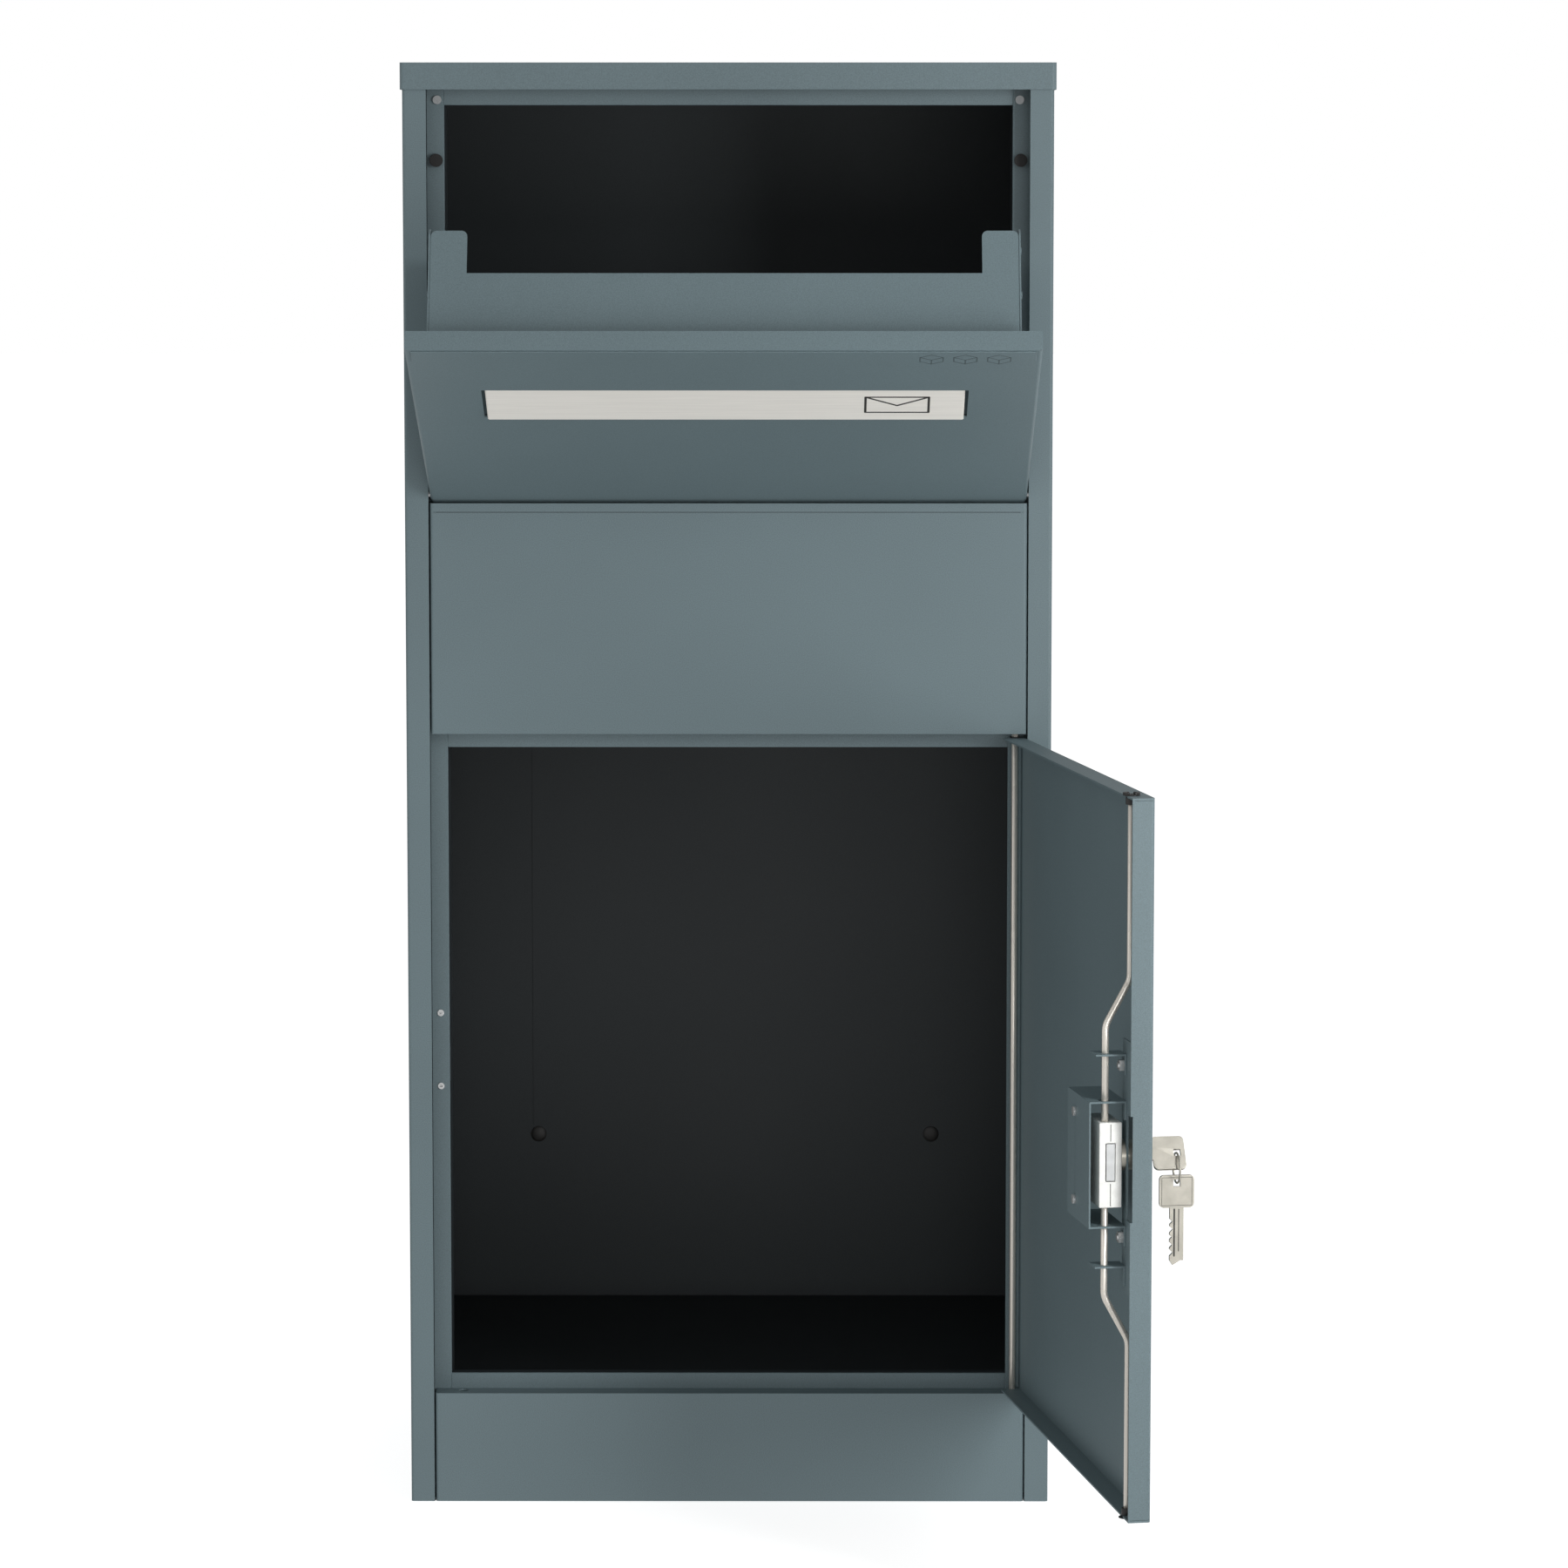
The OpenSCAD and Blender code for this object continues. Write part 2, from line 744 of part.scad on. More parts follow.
// Plate that guides a locking rod, with a flange for its nut
module rod_guide(z) {
  door_pose() difference() {
    union() {
      door_box(377, lock_s, door_rim, 34.6, z, z + sheet);
      door_box(385, lock_s, door_rim, door_rim + sheet, z - 12, z + tiny);
    }
    on_door(rod_s, rod_inner_t, z - 1) cylinder(d = rod_d + run, h = 4);
    if (z > lock_z)
      on_door(nut_s, door_rim - 1, z - nut_drop) rod_y(4.2, 4);
  }
}

module rod_guide_upper() { color(paint) rod_guide(lock_z + guide_rise); }

module rod_guide_lower() { color(paint) rod_guide(lock_z - guide_rise); }

// Nuts and studs of the upper guide and the bracket
module guide_nuts() {
  color(zinc) door_pose() for (z = nut_z)
    on_door(nut_s, door_rim, z) {
      rod_y(4.1, 5.2);
      translate([0, sheet, 0]) rotate([-90, 0, 0])
        cylinder(d = 7.8, h = 3.2, $fn = 6);
    }
}

module bracket_screws() {
  color(zinc) door_pose() for (z = screw_z)
    on_door(354, bracket_t, z) {
      rod_y(6, 1.8);
      translate([0, -4, 0]) rod_y(3.1, 4.5);
    }
}

// Plastic bushes that guide the locking rods in the door rim
module rod_bushes() {
  color(black) door_pose()
    for (z = [door_z, door_top], up = z > lock_z ? -1 : 1)
      on_door(rod_s, rod_outer_t, z) scale([1, 1, up]) difference() {
        union() {
          translate([0, 0, -0.7]) cylinder(d = 11, h = 0.7);
          translate([0, 0, -tiny])
            cylinder(d = bush_d, h = sheet + 2 * tiny);
          translate([0, 0, sheet]) cylinder(d = 7.4, h = 4.5);
        }
        translate([0, 0, -1]) cylinder(d = rod_d + run, h = 13);
      }
}

// Key seen flat: bow with a square hole, blade with cuts
module key_outline(blade) {
  difference() {
    union() {
      translate([0, -bow / 2]) soft_rect(22.6, bow, 3);
      translate([-4.5, -1]) square([9, blade + 1]);
      translate([-4.5, blade - 0.01]) polygon([[2, 0], [9, 0], [7, 3]]);
    }
    translate([0, -hole_y]) square(4.6, center = true);
    for (i = [1 : floor(blade / 5) - 1])
      translate([4.5, 4 + 5 * i]) rotate(45)
        square(2 + 0.5 * (i % 3), center = true);
  }
}

// Turning plug with its keyway
module lock_plug() {
  color(steel) door_pose() on_door(key_s, -0.9, key_z)
    rotate([0, key_turn, 0]) difference() {
      rod_y(plug_d, case_t - 0.6);
      translate([-1.2, -1, -4.7]) cube([2.4, case_t - 0.5, 9.4]);
    }
}

module door_key() {
  color(steel) door_pose() on_door(key_s, key_face_t, key_z)
    rotate([0, key_turn, 0]) translate([1.1, 0, 0]) rotate([0, -90, 0])
      linear_extrude(2.2) key_outline(15);
}

// Bolt of the lock case, drawn withdrawn
module lock_bolt() {
  mid = case_t + case_w / 2;
  color(zinc) door_pose()
    door_box(lock_s - 26, lock_s + 0.2, mid - bolt_t / 2, mid + bolt_t / 2,
      lock_z - 12, lock_z + 12);
}

// Round rod with joggled middle, drawn upwards in (t, z)
module joggled_rod(low, bend_a, bend_b, high) {
  pts = [[rod_inner_t, low], [rod_inner_t, bend_a],
    [rod_outer_t, bend_b], [rod_outer_t, high]];
  for (i = [0 : 2]) {
    v = pts[i + 1] - pts[i];
    translate([0, pts[i][0], pts[i][1]])
      rotate([-atan2(v[0], v[1]), 0, 0]) cylinder(d = rod_d, h = norm(v));
  }
  for (i = [1, 2]) translate([0, pts[i][0], pts[i][1]])
    sphere(d = rod_d + 0.3);
}

module upper_rod() {
  color(steel) door_pose() on_door(rod_s, 0, lock_z)
    joggled_rod(15, bend_low, bend_high, door_top - 2.3 - lock_z);
}

module lower_rod() {
  color(steel) door_pose() on_door(rod_s, 0, lock_z) mirror([0, 0, 1])
    joggled_rod(15, bend_low, bend_high, lock_z - door_z - 2.3);
}

// Split ring, hanging from the hole of the inserted key
module key_ring() {
  color(steel) door_pose() on_door(key_s, ring_t, key_z - ring_r)
    rotate([90, 0, 0]) rotate_extrude() translate([ring_r, 0])
      circle(d = 1.3, $fn = 16);
}

module spare_key() {
  color(steel) door_pose()
    on_door(key_s + 1.1, ring_t, key_z - 2 * ring_r - hole_y)
      rotate([90, 0, 90]) linear_extrude(2.2) mirror([0, 1, 0])
        key_outline(34);
}

side_panel_left();
side_panel_right();
back_panel();
top_lid();
base_plate();
compartment_floor();
plinth_panel();
middle_panel();
upper_jamb_left();
upper_jamb_right();
upper_top_rail();
lower_jamb_left();
lower_jamb_right();
lower_top_rail();
lower_bottom_rail();
flap_bumpers();
jamb_screws();
strike_plate();
strike_rivets();
flap_hinge_bracket_left();
flap_hinge_bracket_right();
flap_hinge_pins();
door_hinge_rod();
hinge_washers();
hinge_clips();
flap_pan();
grip_strip();
catch_plate();
flap_cheek_left();
flap_cheek_right();
drop_floor();
cheek_rivets();
letter_slot_frame();
letter_flap_pin();
letter_flap();
door_pan();
lock_bracket();
lock_case();
lock_cylinder();
rod_guide_upper();
rod_guide_lower();
guide_nuts();
bracket_screws();
rod_bushes();
lock_plug();
door_key();
lock_bolt();
upper_rod();
lower_rod();
key_ring();
spare_key();
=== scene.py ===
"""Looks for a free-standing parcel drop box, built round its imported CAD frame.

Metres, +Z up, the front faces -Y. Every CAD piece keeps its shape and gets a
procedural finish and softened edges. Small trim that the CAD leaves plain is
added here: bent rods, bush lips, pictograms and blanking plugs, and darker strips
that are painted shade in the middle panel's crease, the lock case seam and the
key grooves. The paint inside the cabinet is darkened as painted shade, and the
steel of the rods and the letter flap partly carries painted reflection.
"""

import json
import math

import bmesh
import bpy
from mathutils import Matrix, Vector


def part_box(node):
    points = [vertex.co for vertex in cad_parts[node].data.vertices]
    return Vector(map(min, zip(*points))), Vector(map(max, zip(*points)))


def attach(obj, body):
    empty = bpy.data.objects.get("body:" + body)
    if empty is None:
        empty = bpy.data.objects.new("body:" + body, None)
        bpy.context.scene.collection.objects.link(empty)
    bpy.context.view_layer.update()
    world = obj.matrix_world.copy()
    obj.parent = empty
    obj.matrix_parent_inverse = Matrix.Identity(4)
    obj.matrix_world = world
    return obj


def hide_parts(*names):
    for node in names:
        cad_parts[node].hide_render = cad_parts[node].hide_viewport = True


MM = 0.001

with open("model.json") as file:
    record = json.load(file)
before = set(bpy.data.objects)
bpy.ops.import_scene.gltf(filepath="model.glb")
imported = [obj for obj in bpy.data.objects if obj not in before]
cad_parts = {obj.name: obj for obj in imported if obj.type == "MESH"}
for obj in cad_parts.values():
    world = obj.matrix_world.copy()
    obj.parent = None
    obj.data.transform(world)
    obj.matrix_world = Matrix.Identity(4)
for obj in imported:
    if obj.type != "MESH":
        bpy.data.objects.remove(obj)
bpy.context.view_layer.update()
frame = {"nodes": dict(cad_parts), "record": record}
nodes = frame["nodes"]
scene = bpy.context.scene

# ---- Places taken from the frame ----

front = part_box("side_panel_right")[0].y
web_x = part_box("back_panel")[1].x
back_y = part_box("back_panel")[1].y
lid_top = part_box("top_lid")[1].z
jamb_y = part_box("upper_jamb_right")[0].y
DOOR_EDGE = (0.16, -1, 0)  # about where the open door's free edge faces

# ---- Camera ----

CAMERA_BACK = 3.9038  # in front of the cabinet's front face, metres
CAMERA_X = 0.0483
CAMERA_Z = 0.9142
PITCH_DOWN = 5.909  # degrees
YAW_LEFT = 0.143
LENS = 129.06  # millimetres, like the sensor
SENSOR = 36.0

camera_data = bpy.data.cameras.new("camera")
camera_data.lens = LENS
camera_data.sensor_width = SENSOR
camera_data.clip_end = 100  # past the floor's edge
camera = bpy.data.objects.new("camera", camera_data)
camera.location = (CAMERA_X, front - CAMERA_BACK, CAMERA_Z)
camera.rotation_euler = (math.radians(90 - PITCH_DOWN), 0, math.radians(YAW_LEFT))
scene.collection.objects.link(camera)
scene.camera = camera


# ---- Material tools ----

def linear(r, g, b):
    """Scene-linear colour of an 8-bit display colour."""
    def one(c):
        c = c / 255
        return c / 12.92 if c <= 0.04045 else ((c + 0.055) / 1.055) ** 2.4
    return (one(r), one(g), one(b), 1)


class Nodes:
    """A short way to build a node tree."""

    def __init__(self, name):
        self.material = bpy.data.materials.new(name)
        self.material.use_nodes = True
        self.tree = self.material.node_tree
        self.shader = self.tree.nodes["Principled BSDF"]
        self.coords = self.add("ShaderNodeTexCoord").outputs["Object"]

    def add(self, kind, **settings):
        node = self.tree.nodes.new(kind)
        for key, value in settings.items():
            setattr(node, key, value)
        return node

    def link(self, source, target):
        self.tree.links.new(source, target)

    def noise(self, scale, detail, stretch=(1, 1, 1)):
        """Noise value, its lumps about 1/scale metres wide."""
        mapping = self.add("ShaderNodeMapping")
        mapping.inputs["Scale"].default_value = stretch
        self.link(self.coords, mapping.inputs["Vector"])
        node = self.add("ShaderNodeTexNoise")
        node.inputs["Scale"].default_value = scale
        node.inputs["Detail"].default_value = detail
        self.link(mapping.outputs["Vector"], node.inputs["Vector"])
        return node.outputs["Fac"]

    def ramp(self, value, low, high, start=0.3, stop=0.7):
        """Value mapped to a blend of two colours."""
        node = self.add("ShaderNodeValToRGB")
        node.color_ramp.elements[0].position = start
        node.color_ramp.elements[0].color = low
        node.color_ramp.elements[1].position = stop
        node.color_ramp.elements[1].color = high
        self.link(value, node.inputs["Fac"])
        return node.outputs["Color"]

    def span(self, value, low, high):
        """Value 0 to 1 mapped to low to high."""
        node = self.add("ShaderNodeMapRange")
        node.inputs["To Min"].default_value = low
        node.inputs["To Max"].default_value = high
        self.link(value, node.inputs["Value"])
        return node.outputs["Result"]

    def math(self, operation, a, b):
        """Sum, product or comparison of two values, each a socket or a number."""
        node = self.add("ShaderNodeMath", operation=operation)
        for socket, value in zip(node.inputs, (a, b)):
            if isinstance(value, (int, float)):
                socket.default_value = value
            else:
                self.link(value, socket)
        return node.outputs["Value"]

    def mix(self, factor, a, b):
        """Colour a where the factor is 0 and b where it is 1."""
        node = self.add("ShaderNodeMix", data_type="RGBA")
        self.link(factor, node.inputs["Factor"])
        self.link(a, node.inputs["A"])
        self.link(b, node.inputs["B"])
        return node.outputs["Result"]

    def bump(self, value, height, strength):
        """Fine relief, its lumps up to height metres."""
        node = self.add("ShaderNodeBump")
        node.inputs["Distance"].default_value = height
        node.inputs["Strength"].default_value = strength
        self.link(value, node.inputs["Height"])
        self.link(node.outputs["Normal"], self.shader.inputs["Normal"])

    def axis(self, name):
        """One coordinate of the surface, in metres."""
        node = self.add("ShaderNodeSeparateXYZ")
        self.link(self.coords, node.inputs["Vector"])
        return node.outputs[name]

    def put(self, **values):
        """Sets or links the shader's sockets and gives the finished material."""
        for key, value in values.items():
            socket = self.shader.inputs[key.replace("_", " ")]
            if hasattr(value, "links"):
                self.link(value, socket)
            else:
                socket.default_value = value
        return self.material


def scaled(colour, factor):
    """A colour made lighter or darker."""
    return tuple(c * factor for c in colour[:3]) + (1,)


def grey(level):
    return (level, level, level, 1)


# ---- Finishes ----

PAINT = linear(105, 122, 127)
# Painted shade: the outside paint darkened, standing in for the shade inside the
# cabinet.
INTERIOR_SHADE = linear(49, 55, 58)
GRAIN = 1600  # powder coat lumps per metre
SKIN = 0.6 * MM  # half a sheet's thickness
JAMB_SKIN = 1.5 * MM  # a little more than a sheet, like the next
LID_SKIN = 1.3 * MM


def powder_coat(name, colour, inside=None):
    """Fine matt powder coat. Surfaces inside the cabinet take the inside colour, a
    painted shade.
    """
    n = Nodes(name)
    cloud = n.noise(7, 3)
    grain = n.noise(GRAIN, 2)
    tone = n.ramp(cloud, scaled(colour, 0.965), scaled(colour, 1.035))
    speck = n.ramp(grain, grey(0.9), grey(1.1), 0.35, 0.65)
    product = n.add("ShaderNodeMix", data_type="RGBA", blend_type="MULTIPLY")
    product.inputs["Factor"].default_value = 1
    n.link(tone, product.inputs["A"])
    n.link(speck, product.inputs["B"])
    result = product.outputs["Result"]
    if inside:
        # Painted shade: surfaces inside the cabinet swap the paint for the darker inside
        # colour.
        x = n.math("ABSOLUTE", n.axis("X"), 0)
        within = n.math("LESS_THAN", x, web_x + SKIN)
        behind = n.math("GREATER_THAN", n.axis("Y"), jamb_y + JAMB_SKIN)
        under = n.math("LESS_THAN", n.axis("Z"), lid_top - LID_SKIN)
        ahead = n.math("LESS_THAN", n.axis("Y"), back_y - SKIN)
        shade_mask = n.math("MULTIPLY", within, behind)
        shade_mask = n.math("MULTIPLY", shade_mask, under)
        shade_mask = n.math("MULTIPLY", shade_mask, ahead)
        dark = n.ramp(cloud, scaled(inside, 0.9), scaled(inside, 1.1))
        result = n.mix(shade_mask, result, dark)
    n.bump(grain, 0.05 * MM, 0.45)
    return n.put(Base_Color=result, Roughness=n.span(cloud, 0.46, 0.54),
                 Specular_IOR_Level=0.4)


def brushed(name, colour, stretch, rough=0.3, depth=0.02, metallic=1.0):
    """Brushed metal, its hairlines along the axis with the smallest stretch."""
    n = Nodes(name)
    hair = n.noise(900, 3, stretch)
    smudge = n.noise(24, 3)
    tone = n.ramp(hair, scaled(colour, 0.9), colour, 0.25, 0.75)
    roughness = n.math("ADD", n.span(hair, rough - 0.05, rough + 0.05),
                       n.span(smudge, -0.04, 0.05))
    n.bump(hair, depth * MM, 0.35)
    return n.put(Base_Color=tone, Metallic=metallic, Roughness=roughness)


def plated(name, colour, rough, metallic=1.0):
    """Plated metal with faint clouds and fine pitting."""
    n = Nodes(name)
    cloud = n.noise(160, 4)
    pits = n.noise(2400, 2)
    tone = n.ramp(cloud, scaled(colour, 0.86), colour)
    n.bump(pits, 0.02 * MM, 0.3)
    return n.put(Base_Color=tone, Metallic=metallic,
                 Roughness=n.span(cloud, rough - 0.06, rough + 0.08))


def moulded(name, colour, rough, lumps=900):
    """Plain plastic or rubber with a fine moulded texture."""
    n = Nodes(name)
    skin = n.noise(lumps, 3)
    tone = n.ramp(skin, scaled(colour, 0.8), scaled(colour, 1.2))
    n.bump(skin, 0.04 * MM, 0.5)
    return n.put(Base_Color=tone, Roughness=n.span(skin, rough - 0.08, rough + 0.08))


finish = {
    "powder_coat": powder_coat("powder_coat", PAINT, INTERIOR_SHADE),
    "flap_coat": powder_coat("flap_coat", PAINT),
    # inner_coat: painted shade, the paint darkened for the cabinet's inside.
    "inner_coat": powder_coat("inner_coat", INTERIOR_SHADE),
    # Painted shade: the compartment floor darker still than the inside colour.
    "floor_shade_coat": powder_coat("floor_shade_coat", scaled(INTERIOR_SHADE, 0.5)),
    # The paint darkened: print on the parcel pictograms, and painted shade in the middle
    # panel's crease.
    "mark_and_shade_coat": powder_coat("mark_and_shade_coat", scaled(PAINT, 0.55)),
    # Steel colour, partly diffuse: part of the rods' brightness is a painted reflection
    # of the bright room.
    "rod_steel_and_reflection": brushed("rod_steel_and_reflection", linear(240, 234, 224), (1, 1, 0.01), 0.26, 0.002,
                         metallic=0.6),
    # Painted reflection: near white and almost not metallic, so the stainless plate
    # looks as bright as the white floor it mirrors.
    "plate_steel_and_reflection": brushed("plate_steel_and_reflection", linear(250, 247, 240), (0.02, 1, 1), 0.46,
                           metallic=0.05),
    "zinc_plate": plated("zinc_plate", linear(214, 216, 216), 0.34, 0.7),
    "screw_steel": plated("screw_steel", linear(168, 171, 172), 0.42, 0.5),
    "case_zinc": plated("case_zinc", linear(252, 253, 249), 0.42, 0.0),
    "nickel": plated("nickel", linear(196, 192, 181), 0.34, 0.85),
    "rubber": moulded("rubber", linear(34, 33, 33), 0.7),
    "black_plastic": moulded("black_plastic", linear(38, 37, 36), 0.45, 1500),
    # Darker marks: print on the letter flap's envelope, and painted shade in the lock
    # case seam and the key grooves.
    "etch_and_shade": moulded("etch_and_shade", linear(48, 47, 45), 0.6, 2000),
}

CABINET = set(frame["record"]["behaviour"]["bodies"]["cabinet"])
BY_SLOT = {
    # The inner_coat slot takes the painted shade of the cabinet's inside.
    "inner_coat": "inner_coat",
    "zinc_plate": "zinc_plate",
    # Stainless parts take the rod steel, partly a painted reflection.
    "stainless": "rod_steel_and_reflection",
    "nickel": "nickel",
    "rubber": "rubber",
    "black_plastic": "black_plastic",
}
BY_NODE = {
    # letter_flap: steel with a painted reflection.
    "letter_flap": "plate_steel_and_reflection",
    "jamb_screws": "screw_steel",
    "cheek_rivets": "flap_coat",
    "lock_case": "case_zinc",
    # compartment_floor: painted shade, darker than the inside colour.
    "compartment_floor": "floor_shade_coat",
    "drop_floor": "flap_coat",
}
# Edge rounding in millimetres
SOFT_EDGE = {"side_panel_left": 0.5, "side_panel_right": 0.5, "top_lid": 0.6,
             "flap_pan": 0.5, "door_pan": 0.5, "middle_panel": 0.45,
             "plinth_panel": 0.45, "letter_flap": 0.15, "lock_case": 0.6,
             "grip_strip": 0.3, "catch_plate": 0.35, "flap_bumpers": 1.2,
             "door_key": 0.3, "spare_key": 0.3, "lock_bolt": 0.5}
PLAIN_EDGE = 0.25
WELD = 0.002 * MM
SHARP_ANGLE = 40  # degrees


def soften(obj, width):
    """Merges the split corners and rounds the sharp edges, in millimetres."""
    weld = obj.modifiers.new("weld", "WELD")
    weld.merge_threshold = WELD
    bevel = obj.modifiers.new("bevel", "BEVEL")
    bevel.width = width * MM
    bevel.segments = 3
    bevel.limit_method = "ANGLE"
    bevel.angle_limit = math.radians(SHARP_ANGLE)
    bevel.use_clamp_overlap = True


def paint_node(name, slot):
    """Gives a CAD node its finish and rounds its edges."""
    obj = nodes[name]
    if name in BY_NODE:
        key = BY_NODE[name]
    elif slot == "powder_coat":
        key = "powder_coat" if name in CABINET else "flap_coat"
    else:
        key = BY_SLOT[slot]
    obj.data.materials.clear()
    obj.data.materials.append(finish[key])
    soften(obj, SOFT_EDGE.get(name, PLAIN_EDGE))


for part in frame["record"]["subparts"]:
    paint_node(part["node"], part["material_slot"])


# ---- Tools for small trim ----

FACING = 0.6  # cosine of the widest angle off the wanted direction


class Face:
    """The largest flat face of a CAD node that looks towards a direction.

    u runs across it, v up it and w out of it, from its middle, in metres.
    """

    def __init__(self, node, toward, across):
        groups = {}
        mesh = nodes[node].data
        for polygon in mesh.polygons:
            if polygon.normal.dot(Vector(toward).normalized()) < FACING:
                continue
            distance = polygon.normal.dot(polygon.center)
            key = tuple(round(c, 2) for c in polygon.normal) + (round(distance, 4),)
            groups.setdefault(key, []).append(polygon)
        best = max(groups.values(), key=lambda g: sum(p.area for p in g))
        normal = best[0].normal.copy()
        u = Vector(across)
        u = (u - normal * u.dot(normal)).normalized()
        v = normal.cross(u)
        points = [mesh.vertices[i].co for p in best for i in p.vertices]
        spans = []
        for axis in (u, v, normal):
            values = [axis.dot(p) for p in points]
            spans.append((min(values), max(values)))
        self.width = spans[0][1] - spans[0][0]
        self.height = spans[1][1] - spans[1][0]
        middle = [sum(s) / 2 for s in spans]
        origin = u * middle[0] + v * middle[1] + normal * middle[2]
        self.matrix = Matrix.Translation(origin) @ Matrix(
            (u, v, normal)).transposed().to_4x4()


def finish_piece(name, bm, matrix, material, body, edge=0.0):
    """Turns a bmesh in face coordinates into a piece that rides on a body."""
    bmesh.ops.recalc_face_normals(bm, faces=bm.faces)
    bm.transform(matrix)
    mesh = bpy.data.meshes.new(name)
    bm.to_mesh(mesh)
    bm.free()
    mesh.materials.append(finish[material])
    obj = bpy.data.objects.new(name, mesh)
    scene.collection.objects.link(obj)
    if edge:
        soften(obj, edge)
    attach(obj, body)
    return obj


def prism(bm, outline, low, high):
    """Adds a flat outline in (u, v) as a solid from w = low to w = high."""
    bottom = [bm.verts.new((u, v, low)) for u, v in outline]
    top = [bm.verts.new((u, v, high)) for u, v in outline]
    count = len(outline)
    bm.faces.new(bottom)
    bm.faces.new(top)
    for i in range(count):
        j = (i + 1) % count
        bm.faces.new((bottom[i], bottom[j], top[j], top[i]))


def arc(centre, radius, start, stop, count):
    """Points along an arc, its angles in degrees."""
    step = (stop - start) / count
    return [(centre[0] + radius * math.cos(math.radians(start + step * i)),
             centre[1] + radius * math.sin(math.radians(start + step * i)))
            for i in range(count + 1)]


END_STEPS = 6


def stroke(bm, a, b, width, low, high):
    """Adds a round-ended line from a to b."""
    heading = math.degrees(math.atan2(b[1] - a[1], b[0] - a[0]))
    outline = (arc(b, width / 2, heading - 90, heading + 90, END_STEPS)
               + arc(a, width / 2, heading + 90, heading + 270, END_STEPS))
    prism(bm, outline, low, high)


def strokes(bm, points, width, low, high, closed=False):
    """Adds a line through all the points."""
    pairs = list(zip(points, points[1:]))
    if closed:
        pairs.append((points[-1], points[0]))
    for a, b in pairs:
        stroke(bm, a, b, width, low, high)


ROUND_STEPS = 24
ROUND = [2 * math.pi * k / ROUND_STEPS for k in range(ROUND_STEPS)]  # angles
DOME_RINGS = 4
DOME_TIP = 0.02  # radius of the flat at the top, as a share of the whole


def skin(bm, rings, smooth=False):
    """Joins rings of points into a closed solid."""
    for lower, upper in zip(rings, rings[1:]):
        for k in range(ROUND_STEPS):
            j = (k + 1) % ROUND_STEPS
            face = bm.faces.new((lower[k], lower[j], upper[j], upper[k]))
            face.smooth = smooth
    bm.faces.new(rings[0])
    bm.faces.new(rings[-1])


def dome(bm, centre, radius, low, high):
    """Adds a domed round head."""
    rings = []
    for i in range(DOME_RINGS + 1):
        turn = math.radians(90 * i / DOME_RINGS)
        r = max(radius * math.cos(turn), radius * DOME_TIP)
        w = low + (high - low) * math.sin(turn)
        rings.append([bm.verts.new((centre[0] + r * math.cos(t),
                                    centre[1] + r * math.sin(t), w))
                      for t in ROUND])
    skin(bm, rings)


# ---- Round rods with bends, in place of the CAD's mitred ones ----

SAME_HEIGHT = 0.1 * MM


def rod_end(node, top):
    """Middle of a rod's flat end, and its radius."""
    points = [v.co for v in nodes[node].data.vertices]
    limit = (max if top else min)(p.z for p in points)
    ring = [p for p in points if abs(p.z - limit) < SAME_HEIGHT]
    spans = [(min(p[i] for p in ring), max(p[i] for p in ring)) for i in range(3)]
    middle = Vector([(low + high) / 2 for low, high in spans])
    radius = max(spans[0][1] - spans[0][0], spans[1][1] - spans[1][0]) / 2
    return middle, radius


BEND_STEPS = 10


def rounded(points, radius):
    """Path through points, its corners rounded to a radius."""
    path = [points[0]]
    for before, corner, after in zip(points, points[1:], points[2:]):
        a = (before - corner).normalized()
        b = (after - corner).normalized()
        half = a.angle(b) / 2
        reach = radius / math.tan(half)
        start, stop = corner + a * reach, corner + b * reach
        for i in range(BEND_STEPS + 1):
            k = i / BEND_STEPS
            path.append(start * (1 - k) ** 2 + corner * (2 * k * (1 - k))
                        + stop * k ** 2)
    path.append(points[-1])
    return path


def tube(bm, path, radius, side, chamfer):
    """Sweeps a round section along a path that lies square to side."""
    rows = [(path[0], radius - chamfer)]
    rows += [(p, radius) for p in path]
    rows[1] = (path[0] + (path[1] - path[0]).normalized() * chamfer, radius)
    rows[-1] = (path[-1] + (path[-2] - path[-1]).normalized() * chamfer, radius)
    rows.append((path[-1], radius - chamfer))
    rings = []
    for i, (centre, r) in enumerate(rows):
        ahead = rows[min(i + 1, len(rows) - 1)][0] - rows[max(i - 1, 0)][0]
        across = ahead.normalized().cross(side)
        rings.append([bm.verts.new(centre + side * (r * math.cos(t))
                                   + across * (r * math.sin(t)))
                      for t in ROUND])
    skin(bm, rings, smooth=True)


BEND_RADIUS = 15 * MM
BEND_START = 72 * MM  # from the end of a locking rod in the lock case
BEND_STOP = 101 * MM
CHAMFER = 0.4 * MM


def round_rod(name, node, body, upward, bends=()):
    """A smooth rod that stands for a CAD rod. Bends are heights from its inner end."""
    inner, radius = rod_end(node, not upward)
    outer, _ = rod_end(node, upward)
    step = 1 if upward else -1
    points = [inner]
    if bends:
        points.append(inner + Vector((0, 0, step * bends[0])))
        points.append(Vector((outer.x, outer.y, inner.z + step * bends[1])))
        side = (outer - inner).cross(Vector((0, 0, 1))).normalized()
    else:
        side = Vector((1, 0, 0))
    points.append(outer)
    bm = bmesh.new()
    tube(bm, rounded(points, BEND_RADIUS), radius, side, CHAMFER)
    obj = finish_piece(name, bm, Matrix.Identity(4), "rod_steel_and_reflection", body)
    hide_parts(node)


round_rod("hinge_rod", "door_hinge_rod", "cabinet", True)
round_rod("locking_rod_up", "upper_rod", "rod_up", True, (BEND_START, BEND_STOP))
round_rod("locking_rod_down", "lower_rod", "rod_down", False, (BEND_START, BEND_STOP))

# ---- Painted shade: a darker strip in the crease under the top edge of the middle panel ----

